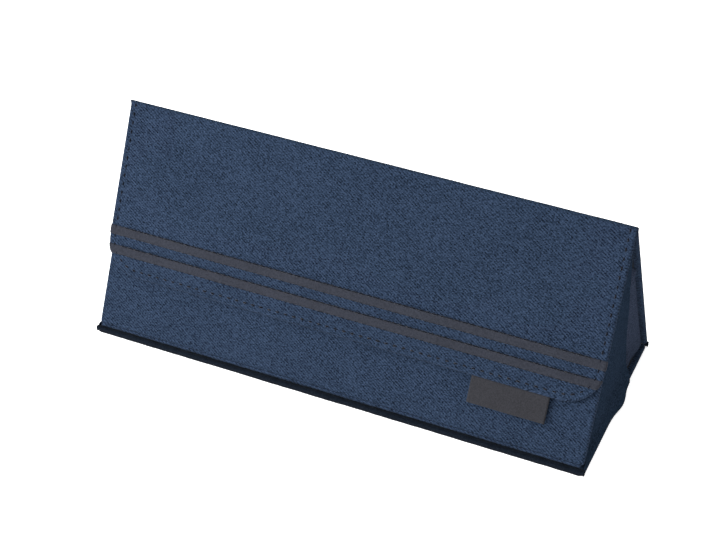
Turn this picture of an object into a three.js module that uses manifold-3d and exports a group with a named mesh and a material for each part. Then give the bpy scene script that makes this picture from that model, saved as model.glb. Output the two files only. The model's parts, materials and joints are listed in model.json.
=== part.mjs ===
// Stand-up brush case: a long tent of three stiff fabric-covered panels, with a flap hinged at the
// ridge that lies over the front panel, and a pleated fabric gusset in each end.
// Millimetres, +X along the ridge, -Y the flap side, +Z up, origin at the middle of the underside.
import * as THREE from 'three';
import { mergeVertices } from 'three/addons/utils/BufferGeometryUtils.js';
import Module from 'manifold-3d';

// Overall form
const caseLength = 200;
const baseDepth = 80;
const ridgeHeight = 85;

// Layers of a panel, from the outside in
const coverThickness = 0.5;
const boardThickness = 1.2;
const flapBoardThickness = 0.7;
const liningThickness = 0.35;
const layerGap = 0.25;
const turnedEdge = 0.6;
const seamGap = 0.3;

// Front panel: its top edge stops mouthDrop below the ridge, measured down the slope
const frontInset = 0.9;
const frontSetback = 0.95;
const mouthDrop = 14.5;
const frontCornerRadius = 3;

// Flap: it leaves frontShowing of the front panel uncovered
const frontShowing = 22.9;
const flapInset = 0.4;
const flapTopGap = 0.6;
const flapCornerRadius = 14;
const flapClearance = 0.4;
const squareCornerRadius = 1.5;

// Sewn trim
const stripeWidth = 3.6;
const stripeThickness = 0.25;
const lowerStripeFromEdge = 9.3;
const upperStripeFromEdge = 16.7;
const stripeEndInset = 0.3;
const labelWidth = 29.8;
const labelDrop = 9.6;
const labelThickness = 1.1;
const labelOffset = 67.8;

// Closure
const magnetRadius = 5;
const magnetFromEdge = 12;
const magnetFromEnd = 32;
const magnetClearance = 0.3;
const steelDiscThickness = 1;
const magnetThickness = 0.6;

// Edge strips and gussets
const bindingWidth = 1.7;
const bindingChamfer = 0.5;
const mitreBlock = 20;
const gussetThickness = 0.8;
const gussetInset = 1.1;
const creaseFoot = 15;

// Colours and finishes
const finishes = {
  navyCanvas: { color: 0x2c3f61, roughness: 0.85, metalness: 0 },
  darkCanvas: { color: 0x1c2334, roughness: 0.85, metalness: 0 },
  lining: { color: 0x23262e, roughness: 0.9, metalness: 0 },
  board: { color: 0x8d8577, roughness: 0.9, metalness: 0 },
  ribbon: { color: 0x44474f, roughness: 0.75, metalness: 0 },
  labelTape: { color: 0x4a4848, roughness: 0.8, metalness: 0 },
  steel: { color: 0xa9abae, roughness: 0.35, metalness: 1 },
};

const wasm = await Module();
wasm.setup();

// ---- Cross-section: lines in the plane of Y and Z, each a point and a direction ----

const panelThickness = coverThickness + boardThickness + liningThickness + 2 * layerGap;
const flapThickness = coverThickness + flapBoardThickness + liningThickness + 2 * layerGap;
const backSlope = Math.atan2(ridgeHeight, baseDepth / 2);
const seat = panelThickness + seamGap;
const ridge = new THREE.Vector2(0, ridgeHeight);
const frontHinge = new THREE.Vector2(-baseDepth / 2 + frontSetback, seat);

// The front panel lies one flap thickness under the flap, and both lean at the same angle.
const hingeToRidge = ridge.clone().sub(frontHinge);
const flapStack = flapThickness + flapClearance;
const frontSlope = hingeToRidge.angle() - Math.asin(flapStack / hingeToRidge.length());
const ridgeAlongFront = Math.sqrt(hingeToRidge.lengthSq() - flapStack ** 2);
const frontPanelLength = ridgeAlongFront - mouthDrop;
const flapLength = ridgeAlongFront - frontShowing;
const flapWidth = caseLength - 2 * flapInset;

const unit = (angle) => new THREE.Vector2(Math.cos(angle), Math.sin(angle));
const frontUp = unit(frontSlope);
const frontIn = unit(frontSlope - Math.PI / 2);
const backUp = unit(Math.PI - backSlope);
const backIn = unit(Math.PI / 2 + (Math.PI - backSlope));
const level = new THREE.Vector2(1, 0);

function line(point, direction, inward, depth) {
  return { point: point.clone().addScaledVector(inward, depth), direction };
}

function meet(a, b) {
  const across = b.point.clone().sub(a.point);
  const along = across.cross(b.direction) / a.direction.cross(b.direction);
  return a.point.clone().addScaledVector(a.direction, along);
}

const up = new THREE.Vector2(0, 1);
const floorLine = line(new THREE.Vector2(0, panelThickness), level, up, seamGap);
const frontInside = line(frontHinge, frontUp, frontIn, panelThickness + seamGap);
const backOutside = line(ridge, backUp, backIn, 0);
const backInside = line(ridge, backUp, backIn, panelThickness + seamGap);
const flapInside = line(ridge, frontUp, frontIn, flapThickness + seamGap);

// The back panel stops where its inner face would meet the closed flap.
const backTopCorner = meet(line(ridge, backUp, backIn, panelThickness), flapInside);
const backTopDrop = -backTopCorner.clone().sub(ridge).dot(backUp);
const backFoot = (ridgeHeight - seat) / Math.sin(backSlope);
const backPanelLength = backFoot - backTopDrop;

// ---- Solids ----

function toManifold(geometry) {
  const bare = geometry.index ? geometry.toNonIndexed() : geometry.clone();
  bare.deleteAttribute('normal');
  bare.deleteAttribute('uv');
  const merged = mergeVertices(bare, 1e-4);
  const vertProperties = new Float32Array(merged.attributes.position.array);
  const triVerts = new Uint32Array(merged.index.array);
  return new wasm.Manifold(new wasm.Mesh({ numProp: 3, vertProperties, triVerts }));
}

function toGeometry(solid) {
  const result = solid.getMesh();
  const geometry = new THREE.BufferGeometry();
  geometry.setAttribute('position', new THREE.BufferAttribute(new Float32Array(result.vertProperties), 3));
  geometry.setIndex(new THREE.BufferAttribute(new Uint32Array(result.triVerts), 1));
  geometry.computeVertexNormals();
  return geometry;
}

function piece(name, geometry, finish) {
  const mesh = new THREE.Mesh(geometry, new THREE.MeshStandardMaterial(finish));
  mesh.name = name;
  return mesh;
}

function slab(shape, outerFace, thickness) {
  const geometry = new THREE.ExtrudeGeometry(shape, { depth: thickness, bevelEnabled: false, curveSegments: 12 });
  geometry.translate(0, 0, outerFace - thickness);
  return geometry;
}

// A panel's outline with one radius for its two lower and one for its two upper corners.
function outline({ width, bottom, top, lowerRadius, upperRadius }, inset = 0) {
  const side = width / 2 - inset;
  const low = bottom + inset;
  const high = top - inset;
  const lower = Math.max(lowerRadius - inset, 0.2);
  const upper = Math.max(upperRadius - inset, 0.2);
  const shape = new THREE.Shape();
  shape.moveTo(-side + lower, low);
  shape.lineTo(side - lower, low);
  shape.absarc(side - lower, low + lower, lower, -Math.PI / 2, 0);
  shape.lineTo(side, high - upper);
  shape.absarc(side - upper, high - upper, upper, 0, Math.PI / 2);
  shape.lineTo(-side + upper, high);
  shape.absarc(-side + upper, high - upper, upper, Math.PI / 2, Math.PI);
  shape.lineTo(-side, low + lower);
  shape.absarc(-side + lower, low + lower, lower, Math.PI, 1.5 * Math.PI);
  return shape;
}

// A block whose top is level with the seat on the base. It mitres the foot of a leaning panel.
function mitre(drop, slope, turn) {
  const block = new THREE.BoxGeometry(2 * caseLength, 2 * baseDepth, mitreBlock);
  block.translate(0, 0, -drop - mitreBlock / 2);
  block.rotateX(-slope);
  block.rotateZ(-turn);
  return toManifold(block);
}

// A panel faces +Z with its outer face at zero: a cover tray with turned edges, the board in it,
// and the lining that closes it.
function panel(name, edges, board, { sockets = [], cutter } = {}) {
  const depth = coverThickness + board + liningThickness + 2 * layerGap;
  const boardFace = -coverThickness - layerGap;
  const liningFace = boardFace - board - layerGap;
  const pocket = slab(outline(edges, turnedEdge), -coverThickness, depth);
  const tray = toManifold(slab(outline(edges), 0, depth)).subtract(toManifold(pocket));
  const boardShape = outline(edges, turnedEdge + layerGap);
  for (const socket of sockets) {
    const hole = new THREE.Path();
    hole.absarc(socket.x, socket.y, magnetRadius + magnetClearance, 0, 2 * Math.PI, true);
    boardShape.holes.push(hole);
  }
  const liningShape = outline(edges, turnedEdge + layerGap);
  const layers = [
    [`${name}_cover`, tray, finishes.navyCanvas],
    [`${name}_board`, toManifold(slab(boardShape, boardFace, board)), finishes.board],
    [`${name}_lining`, toManifold(slab(liningShape, liningFace, liningThickness)), finishes.lining],
  ];
  const trimmed = (solid) => (cutter ? solid.subtract(cutter) : solid);
  return layers.map(([layer, solid, finish]) => piece(layer, toGeometry(trimmed(solid)), finish));
}

function discs(name, sockets, thickness) {
  return sockets.map((socket) => {
    const geometry = new THREE.CylinderGeometry(magnetRadius, magnetRadius, thickness, 32);
    geometry.rotateX(Math.PI / 2);
    geometry.translate(socket.x, socket.y, -coverThickness - layerGap - thickness / 2);
    return piece(`${name}_${socket.side}`, geometry, finishes.steel);
  });
}

// A plate or bar whose outline lies in the plane of Y and Z, centred on x.
function bar(name, corners, x, length, finish) {
  const geometry = new THREE.ExtrudeGeometry(new THREE.Shape(corners), { depth: length, bevelEnabled: false });
  geometry.translate(0, 0, x - length / 2);
  const mesh = piece(name, geometry, finish);
  mesh.rotation.set(Math.PI / 2, Math.PI / 2, 0);
  return mesh;
}

const sides = [
  { side: 'left', sign: -1 },
  { side: 'right', sign: 1 },
];
const socketsAt = (y) => sides.map(({ side, sign }) => ({ side, x: sign * (caseLength / 2 - magnetFromEnd), y }));

function placed(position, slope, turn, meshes) {
  const group = new THREE.Group();
  group.position.set(0, position.x, position.y);
  group.rotation.set(slope, 0, turn);
  group.add(...meshes);
  return group;
}

// ---- Fixed case: base, back, edge strips and the case side of the gussets ----

function basePanel() {
  const reach = baseDepth / 2 - bindingWidth - seamGap;
  const edges = { width: caseLength, bottom: -reach, top: reach, lowerRadius: 1, upperRadius: 1 };
  return placed(new THREE.Vector2(0, 0), Math.PI, 0, panel('base', edges, boardThickness));
}

function backPanel() {
  const edges = {
    width: caseLength,
    bottom: -backTopDrop - backPanelLength,
    top: -backTopDrop,
    lowerRadius: squareCornerRadius,
    upperRadius: squareCornerRadius,
  };
  const cutter = mitre(ridgeHeight - seat, -backSlope, Math.PI);
  return placed(ridge, -backSlope, Math.PI, panel('back', edges, boardThickness, { cutter }));
}

function ridgeStrip() {
  const backEnd = line(ridge, backIn, backUp, -backTopDrop + seamGap);
  const corners = [meet(backOutside, backEnd), meet(flapInside, backOutside), meet(flapInside, backEnd)];
  return bar('ridge_hinge_strip', corners, 0, caseLength - 2 * squareCornerRadius, finishes.darkCanvas);
}

function edgeStrip(name, sign) {
  const outer = sign * baseDepth / 2;
  const inner = outer - sign * bindingWidth;
  const corners = [
    new THREE.Vector2(outer, 0),
    new THREE.Vector2(outer, panelThickness - bindingChamfer),
    new THREE.Vector2(outer - sign * bindingChamfer, panelThickness),
    new THREE.Vector2(inner, panelThickness),
    new THREE.Vector2(inner, 0),
  ];
  return bar(name, sign > 0 ? corners : corners.reverse(), 0, caseLength, finishes.darkCanvas);
}

const frontTopEnd = line(frontHinge, frontIn, frontUp, frontPanelLength);
const gussetOuter = caseLength / 2 - frontInset - gussetInset;

function gussetBack({ side, sign }) {
  const frontTopGap = line(frontHinge, frontIn, frontUp, frontPanelLength + seamGap);
  const stripEnd = line(ridge, level, up, meet(flapInside, backInside).y - ridgeHeight - seamGap);
  const corners = [
    meet(floorLine, frontInside),
    meet(floorLine, backInside),
    meet(stripEnd, backInside),
    meet(stripEnd, flapInside),
    meet(frontTopGap, flapInside),
    meet(frontTopGap, frontInside),
  ];
  const x = sign * (gussetOuter - gussetThickness * 1.5 - seamGap);
  return bar(`gusset_back_${side}`, corners, x, gussetThickness, finishes.darkCanvas);
}

function gussetFront({ side, sign }) {
  const foot = new THREE.Vector2(creaseFoot, 0);
  const crease = { point: foot, direction: ridge.clone().sub(foot) };
  const topEdge = { point: meet(frontInside, frontTopEnd), direction: level };
  const corners = [
    meet(floorLine, frontInside),
    meet(floorLine, crease),
    meet(topEdge, crease),
    meet(topEdge, frontInside),
  ];
  const x = sign * (gussetOuter - gussetThickness / 2);
  return bar(`gusset_front_${side}`, corners, x, gussetThickness, finishes.navyCanvas);
}

// ---- Front panel and flap ----

function frontPanel() {
  const edges = {
    width: caseLength - 2 * frontInset,
    bottom: 0,
    top: frontPanelLength,
    lowerRadius: frontCornerRadius,
    upperRadius: squareCornerRadius,
  };
  const sockets = socketsAt(ridgeAlongFront - flapLength + magnetFromEdge);
  const meshes = [
    ...panel('front', edges, boardThickness, { sockets, cutter: mitre(0, frontSlope, 0) }),
    ...discs('steel_disc', sockets, steelDiscThickness),
  ];
  return placed(frontHinge, frontSlope, 0, meshes);
}

function stripe(name, fromEdge) {
  const centre = -flapLength + fromEdge;
  const low = Math.max(flapCornerRadius - fromEdge + stripeWidth / 2, 0);
  const cornerCut = flapCornerRadius - Math.sqrt(flapCornerRadius ** 2 - low ** 2);
  const length = flapWidth - 2 * (cornerCut + stripeEndInset);
  const geometry = new THREE.BoxGeometry(length, stripeWidth, stripeThickness);
  geometry.translate(0, centre, layerGap + stripeThickness / 2);
  return piece(name, geometry, finishes.ribbon);
}

function label() {
  const geometry = new THREE.BoxGeometry(labelWidth, labelDrop, labelThickness);
  geometry.translate(labelOffset, -flapLength - seamGap - labelDrop / 2, -flapThickness / 2);
  return piece('label', geometry, finishes.labelTape);
}

function flap() {
  const edges = {
    width: flapWidth,
    bottom: -flapLength,
    top: -flapTopGap,
    lowerRadius: flapCornerRadius,
    upperRadius: squareCornerRadius,
  };
  const sockets = socketsAt(-flapLength + magnetFromEdge);
  const meshes = [
    ...panel('flap', edges, flapBoardThickness, { sockets }),
    ...discs('magnet', sockets, magnetThickness),
    stripe('upper_stripe', upperStripeFromEdge),
    stripe('lower_stripe', lowerStripeFromEdge),
    label(),
  ];
  return placed(ridge, frontSlope, 0, meshes);
}

const brushCase = new THREE.Group();
brushCase.name = 'brush_case';
brushCase.add(
  basePanel(),
  backPanel(),
  ridgeStrip(),
  edgeStrip('front_edge_strip', -1),
  edgeStrip('rear_edge_strip', 1),
  ...sides.map(gussetBack),
  frontPanel(),
  ...sides.map(gussetFront),
  flap(),
);

export default brushCase;
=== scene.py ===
"""A stand-up brush case: canvas over stiff boards, a flap with two ribbons and a label, pleated ends."""

import json
import math

import bmesh
import bpy
import numpy as np
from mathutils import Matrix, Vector


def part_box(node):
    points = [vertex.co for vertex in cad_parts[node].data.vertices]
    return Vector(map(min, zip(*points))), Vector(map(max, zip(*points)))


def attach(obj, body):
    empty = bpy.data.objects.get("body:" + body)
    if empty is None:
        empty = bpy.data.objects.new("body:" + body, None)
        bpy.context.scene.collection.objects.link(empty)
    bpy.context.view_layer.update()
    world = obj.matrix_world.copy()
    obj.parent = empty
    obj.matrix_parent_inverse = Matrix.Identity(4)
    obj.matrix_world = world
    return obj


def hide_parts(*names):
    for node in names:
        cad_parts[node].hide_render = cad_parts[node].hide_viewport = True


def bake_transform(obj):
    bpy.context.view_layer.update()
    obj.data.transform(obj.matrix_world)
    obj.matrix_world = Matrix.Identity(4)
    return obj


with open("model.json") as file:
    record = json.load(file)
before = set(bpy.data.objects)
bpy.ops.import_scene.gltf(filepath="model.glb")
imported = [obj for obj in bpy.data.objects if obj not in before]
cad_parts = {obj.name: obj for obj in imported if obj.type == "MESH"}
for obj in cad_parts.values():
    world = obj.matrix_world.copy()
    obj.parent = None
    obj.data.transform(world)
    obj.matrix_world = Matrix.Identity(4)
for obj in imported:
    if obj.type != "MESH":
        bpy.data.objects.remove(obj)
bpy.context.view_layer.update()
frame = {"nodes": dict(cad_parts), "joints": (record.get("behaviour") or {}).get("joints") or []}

MM = 0.001

# ---- Where the panels are, worked out from the frame ----

JOINTS = {joint["name"]: joint for joint in frame["joints"]}
RIDGE = np.array(JOINTS["flap_hinge"]["pos_m"])
FRONT_HINGE = np.array(JOINTS["front_tilt"]["pos_m"])


def node_box(name):
    """The lowest and highest corners of a node."""
    low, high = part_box(name)
    return np.array(low), np.array(high)


def node_centre(name):
    low, high = node_box(name)
    return (low + high) / 2


base_low, base_high = node_box("base_cover")
front_high = node_box("front_cover")[1]
flap_low, flap_high = node_box("flap_cover")
back_high = node_box("back_cover")[1]
strip_low = node_box("front_edge_strip")[0]
label_low, label_high = node_box("label")

PANEL = base_high[2] - base_low[2]
SEAT = FRONT_HINGE[2]
HALF_DEPTH = -strip_low[1]

ribbon_rise = node_centre("upper_stripe") - node_centre("lower_stripe")
FRONT_SLOPE = math.atan2(ribbon_rise[2], ribbon_rise[1])
BACK_SLOPE = math.atan2(RIDGE[2], HALF_DEPTH)

CANVAS_EASE = 0.5 * MM
BASE_HALF = base_high[0]
BACK_HALF = back_high[0] + CANVAS_EASE
FRONT_HALF = front_high[0] + CANVAS_EASE
FLAP_HALF = flap_high[0] + CANVAS_EASE

FLAP_LENGTH = (RIDGE[1] - flap_low[1]) / math.cos(FRONT_SLOPE)
FLAP = (RIDGE[2] - FLAP_LENGTH * math.sin(FRONT_SLOPE) - flap_low[2]) / math.cos(FRONT_SLOPE)

# ---- Cloth sizes ----

CLOTH = 0.28 * MM
SQUARE_CORNER = 1.5 * MM
NO_CORNER = 0.06 * MM
FRONT_CORNER = 3 * MM
FLAP_CORNER = 14 * MM
HEM = 8 * MM
LINING = 0.3 * MM
FOOT_LIFT = 0.85 * MM
RIDGE_FOLD = 0.42 * MM
RIDGE_DROP = 0.06 * MM
RIDGE_LAP = 0.35 * MM
EDGE_SEAM = 2.3 * MM
FOOT_SEAM = 2.7 * MM
STITCH_PITCH = 3.4 * MM
GRID = 0.8 * MM
THREAD_GROOVE = 0.2 * MM


class Panel:
    """A flat panel. Its x runs along the case, s down its slope from the ridge, and n out of its face."""

    def __init__(self, origin, down, outward):
        self.origin = np.array(origin)
        self.down = np.array(down)
        self.outward = np.array(outward)

    def at(self, x, s, n):
        """Points of the frame from the panel's own distances."""
        x, s, n = np.broadcast_arrays(np.asarray(x, float), np.asarray(s, float), np.asarray(n, float))
        across = np.stack([x, np.zeros_like(x), np.zeros_like(x)], axis=-1)
        return self.origin + across + s[..., None] * self.down + n[..., None] * self.outward


front_down = np.array([0, -math.cos(FRONT_SLOPE), -math.sin(FRONT_SLOPE)])
front_out = np.array([0, -math.sin(FRONT_SLOPE), math.cos(FRONT_SLOPE)])
back_down = np.array([0, math.cos(BACK_SLOPE), -math.sin(BACK_SLOPE)])
back_out = np.array([0, math.sin(BACK_SLOPE), math.cos(BACK_SLOPE)])

FRONT_RUN = float(np.dot(FRONT_HINGE - RIDGE, front_down))
MOUTH = FRONT_RUN - (front_high[2] - FRONT_HINGE[2]) / math.sin(FRONT_SLOPE)
BACK_RUN = (RIDGE[2] - SEAT) / math.sin(BACK_SLOPE)
WEDGE = math.tan((math.pi - FRONT_SLOPE - BACK_SLOPE) / 2)

flap_panel = Panel(RIDGE, front_down, front_out)
front_panel = Panel(FRONT_HINGE - FRONT_RUN * front_down, front_down, front_out)
back_panel = Panel(RIDGE, back_down, back_out)
base_panel = Panel((0, 0, 0), (0, 1, 0), (0, 0, -1))

# ---- Materials ----


class Nodes:
    """A material's nodes, added and joined in one line each."""

    def __init__(self, tree):
        self.tree = tree

    def add(self, kind, **values):
        node = self.tree.nodes.new(kind)
        for name, value in values.items():
            setattr(node, name, value)
        return node

    def link(self, source, target):
        self.tree.links.new(source, target)

    def feed(self, socket, value):
        """Joins an output, or sets a number, on a socket."""
        if isinstance(value, bpy.types.NodeSocket):
            self.link(value, socket)
        else:
            socket.default_value = value

    def cloth(self):
        """The cloth coordinates, and the node that splits them."""
        surface = self.add("ShaderNodeUVMap", uv_map="cloth").outputs[0]
        split = self.add("ShaderNodeSeparateXYZ")
        self.link(surface, split.inputs[0])
        return surface, split

    def math(self, operation, a, b=None):
        node = self.add("ShaderNodeMath", operation=operation)
        self.feed(node.inputs[0], a)
        if b is not None:
            self.feed(node.inputs[1], b)
        return node.outputs[0]

    def noise(self, vector, scale, detail=2.0, roughness=0.5):
        node = self.add("ShaderNodeTexNoise")
        self.link(vector, node.inputs["Vector"])
        for socket, value in (("Scale", scale), ("Detail", detail), ("Roughness", roughness)):
            node.inputs[socket].default_value = value
        return node.outputs["Fac"]

    def random(self, a, b):
        """A number from 0 to 1 for each pair of whole numbers."""
        joined = self.add("ShaderNodeCombineXYZ")
        self.feed(joined.inputs[0], a)
        self.feed(joined.inputs[1], b)
        white = self.add("ShaderNodeTexWhiteNoise", noise_dimensions="2D")
        self.link(joined.outputs[0], white.inputs["Vector"])
        return white.outputs["Value"]

    def colours(self, factor, stops):
        """A colour ramp from (place, colour) stops."""
        node = self.add("ShaderNodeValToRGB")
        self.link(factor, node.inputs[0])
        ramp = node.color_ramp
        while len(ramp.elements) < len(stops):
            ramp.elements.new(0.5)
        for element, (place, colour) in zip(ramp.elements, stops):
            element.position = place
            element.color = (*colour, 1)
        return node.outputs[0]

    def bump(self, height, strength, distance):
        node = self.add("ShaderNodeBump")
        node.inputs["Strength"].default_value = strength
        node.inputs["Distance"].default_value = distance
        self.link(height, node.inputs["Height"])
        return node.outputs[0]

    def wave(self, value):
        """A thread's rounded height, from 0 to 1, once for each whole number."""
        return self.math("ABSOLUTE", self.math("SINE", self.math("MULTIPLY", value, math.pi)))


def new_material(name, roughness, sheen=0.0, metallic=0.0):
    """A material with its shader's fixed values set, and its nodes."""
    material = bpy.data.materials.new(name)
    material.use_nodes = True
    nodes = Nodes(material.node_tree)
    shader = material.node_tree.nodes["Principled BSDF"]
    shader.inputs["Roughness"].default_value = roughness
    shader.inputs["Metallic"].default_value = metallic
    shader.inputs["Sheen Weight"].default_value = sheen
    shader.inputs["Sheen Roughness"].default_value = 0.45
    shader.inputs["Specular IOR Level"].default_value = 0.5 if metallic else 0.0
    return material, nodes, shader


def scaled(colour, factor):
    return tuple(channel * factor for channel in colour)


def woven(name, colour, pitch, twill, depth, contrast, sheen=0.03, stretch=1.0):
    """Cloth woven from threads of one colour. Twill 2 is a plain weave, and 3 or more a diagonal one."""
    material, nodes, shader = new_material(name, 0.85, sheen)
    surface, split = nodes.cloth()
    wander = nodes.math("MULTIPLY", nodes.noise(surface, 90, 1), 0.35)
    a = nodes.math("ADD", nodes.math("MULTIPLY", split.outputs[0], 1 / (pitch * stretch)), wander)
    b = nodes.math("ADD", nodes.math("MULTIPLY", split.outputs[1], 1 / pitch), wander)
    cell_a = nodes.math("FLOOR", a)
    cell_b = nodes.math("FLOOR", b)
    turn = nodes.math("FLOORED_MODULO", nodes.math("SUBTRACT", cell_a, cell_b), float(twill))
    over = nodes.math("LESS_THAN", turn, 0.5)
    warp = nodes.wave(a)
    weft = nodes.wave(b)
    rise = nodes.math("MULTIPLY", over, nodes.math("SUBTRACT", warp, weft))
    both = nodes.math("ADD", nodes.math("MULTIPLY", weft, 0.6), nodes.math("MULTIPLY", rise, 0.6))
    height = nodes.math("ADD", both, nodes.math("MULTIPLY", over, 0.4))
    slant = nodes.math("MULTIPLY", nodes.math("SUBTRACT", a, b), math.tau / twill)
    ridges = nodes.math("ADD", nodes.math("MULTIPLY", nodes.math("SINE", slant), 0.5), 0.5)
    # Ridges and height paint the twill lines and thread crowns lighter, a painted highlight of the weave; the
    # random cell tone and the noise are the yarn's own tone.
    parts = (
        (ridges, 0.3),
        (nodes.random(cell_a, cell_b), 0.5),
        (height, 0.3),
        (nodes.noise(surface, 1500, 2, 0.7), 0.8),
        (nodes.noise(surface, 35, 3, 0.6), 0.2),
    )
    mixed = 0.5
    for part, weight in parts:
        mixed = nodes.math("ADD", nodes.math("MULTIPLY", nodes.math("SUBTRACT", part, 0.5), weight), mixed)
    # The lightest stop, with grey added, is a painted highlight on the thread tips.
    highlight_tip = tuple(channel * (1 + contrast * 0.85) + contrast * TIP_HIGHLIGHT_GREY for channel in colour)
    stops = [(0.0, scaled(colour, 1 - contrast)), (0.5, colour), (1.0, highlight_tip)]
    nodes.link(nodes.colours(mixed, stops), shader.inputs["Base Color"])
    nodes.link(nodes.bump(height, 0.55, depth), shader.inputs["Normal"])
    return material


def ribbed(name, colour, pitch, depth, contrast):
    """Narrow woven tape with ribs across its length."""
    material, nodes, shader = new_material(name, 0.7, 0.05)
    surface, split = nodes.cloth()
    rib = nodes.math("MULTIPLY", split.outputs[0], 1 / pitch)
    strand = nodes.math("MULTIPLY", split.outputs[1], 1 / pitch)
    fine = nodes.math("ADD", nodes.math("MULTIPLY", nodes.wave(strand), 0.4), 0.6)
    height = nodes.math("MULTIPLY", nodes.wave(rib), fine)
    each = nodes.random(nodes.math("FLOOR", rib), nodes.math("FLOOR", strand))
    broad = nodes.math("SUBTRACT", nodes.noise(surface, 60, 3, 0.6), 0.5)
    # Height paints the rib crowns lighter, a painted highlight; the random tone of each strand and the broad
    # noise are the tape's own tone.
    mixed = nodes.math("ADD", nodes.math("MULTIPLY", each, 0.5), nodes.math("MULTIPLY", height, 0.4))
    mixed = nodes.math("ADD", mixed, nodes.math("MULTIPLY", broad, 0.5))
    stops = [
        (0.0, scaled(colour, 1 - contrast)),
        (0.45, colour),
        (1.0, scaled(colour, 1 + contrast)),
    ]
    nodes.link(nodes.colours(mixed, stops), shader.inputs["Base Color"])
    nodes.link(nodes.bump(height, 0.5, depth), shader.inputs["Normal"])
    return material


def grained(name, colour, finish, noise, stops, bump=None):
    """A plain material with fine noise in its colour. Stops are (place, share of the colour)."""
    material, nodes, shader = new_material(name, *finish)
    place = nodes.add("ShaderNodeTexCoord").outputs["Object"]
    grain = nodes.noise(place, *noise)
    ramp = [(at, scaled(colour, share)) for at, share in stops]
    nodes.link(nodes.colours(grain, ramp), shader.inputs["Base Color"])
    if bump is not None:
        nodes.link(nodes.bump(grain, *bump), shader.inputs["Normal"])
    return material, nodes, shader, grain


def brushed_steel(name, colour):
    """Plated metal of the discs and magnets."""
    stops = ((0.3, 0.8), (0.7, 1.1))
    material, nodes, shader, grain = grained(name, colour, (0.35, 0.0, 1.0), (1500, 3), stops)
    nodes.link(nodes.math("ADD", nodes.math("MULTIPLY", grain, 0.2), 0.25), shader.inputs["Roughness"])
    return material


# Grey added to the lightest weave colour: a painted highlight on the thread tips.
TIP_HIGHLIGHT_GREY = 0.004
NAVY = (0.0139, 0.0231, 0.0426)
# Painted shade: a darker copy of the navy canvas, for the ends' front halves and the ridge fold, which face
# away from the light.
SHADED_NAVY = (0.0112, 0.0193, 0.034)
# Painted light: a lighter copy of the navy canvas, for the ends' back halves, which turn towards the light.
LIT_NAVY = (0.0236, 0.0309, 0.0505)
# Near-black edge trim: its darkness is partly the trim's own colour and partly painted shade of the crease
# above it.
DARK_TRIM_AND_SHADE = (0.004, 0.006, 0.010)
RIBBON = (0.0215, 0.0235, 0.031)
LABEL = (0.0225, 0.0228, 0.0265)
INSIDE = (0.012, 0.014, 0.018)
# Near-black stitch colour: the thread's own dark navy, darkened further as painted shade of the needle holes.
THREAD_AND_HOLE_SHADE = (0.0015, 0.0025, 0.006)
BOARD = (0.18, 0.17, 0.155)
STEEL = (0.6, 0.6, 0.62)

navy_canvas = woven("navy_canvas", NAVY, 0.377 * MM, 3, 0.1 * MM, 0.95, stretch=1.5)
gusset_canvas = woven("gusset_canvas", SHADED_NAVY, 0.36 * MM, 3, 0.08 * MM, 0.8, sheen=0.0)
lit_navy_canvas = woven("lit_navy_canvas", LIT_NAVY, 0.36 * MM, 3, 0.08 * MM, 0.6, sheen=0.0)
dark_canvas = woven("dark_canvas", DARK_TRIM_AND_SHADE, 0.45 * MM, 2, 0.12 * MM, 0.5)
lining_cloth = woven("lining_cloth", INSIDE, 0.3 * MM, 2, 0.05 * MM, 0.3, sheen=0.1)
ribbon_tape = ribbed("ribbon_tape", RIBBON, 0.45 * MM, 0.08 * MM, 0.35)
label_tape = ribbed("label_tape", LABEL, 0.35 * MM, 0.06 * MM, 0.3)
THREAD_STOPS = ((0.3, 0.6), (0.7, 1.5))
BOARD_STOPS = ((0.25, 0.7), (0.75, 1.2))
# Stitch material: dark thread plus painted shade of the needle holes.
thread_and_hole_shade = grained("thread_and_hole_shade", THREAD_AND_HOLE_SHADE, (0.6, 0.2), (2500, 2), THREAD_STOPS, (0.4, 0.05 * MM))[0]
grey_board = grained("grey_board", BOARD, (0.9,), (900, 4, 0.65), BOARD_STOPS, (0.3, 0.1 * MM))[0]
plated_steel = brushed_steel("plated_steel", STEEL)

# ---- Mesh helpers ----


def smooth_step(value):
    value = np.clip(value, 0, 1)
    return value * value * (3 - 2 * value)


def ripple(x, s, size, seed):
    """A soft unevenness made of a few long waves, within about one size either way."""
    rng = np.random.default_rng(seed)
    total = 0
    for _ in range(5):
        turn = rng.uniform(0, 2 * math.pi)
        length = rng.uniform(14, 45) * MM
        phase = rng.uniform(0, 2 * math.pi)
        total = total + np.sin(2 * math.pi * (x * math.cos(turn) + s * math.sin(turn)) / length + phase)
    return size * total / 3


def line_distance(x, s, path):
    """How far each point is from a path of straight pieces."""
    best = np.full(np.shape(x), 1.0)
    for (ax, as_), (bx, bs) in zip(path[:-1], path[1:]):
        dx, ds = bx - ax, bs - as_
        along = np.clip(((x - ax) * dx + (s - as_) * ds) / (dx * dx + ds * ds), 0, 1)
        best = np.minimum(best, np.hypot(x - ax - along * dx, s - as_ - along * ds))
    return best


def grooves(x, s, paths):
    """The dents that sewn threads pull into the cloth."""
    depth = np.zeros(np.shape(x))
    for path in paths:
        reach = line_distance(x, s, path)
        depth = np.minimum(depth, -THREAD_GROOVE * np.exp(-((reach / (0.7 * MM)) ** 2)))
    return depth


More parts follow.
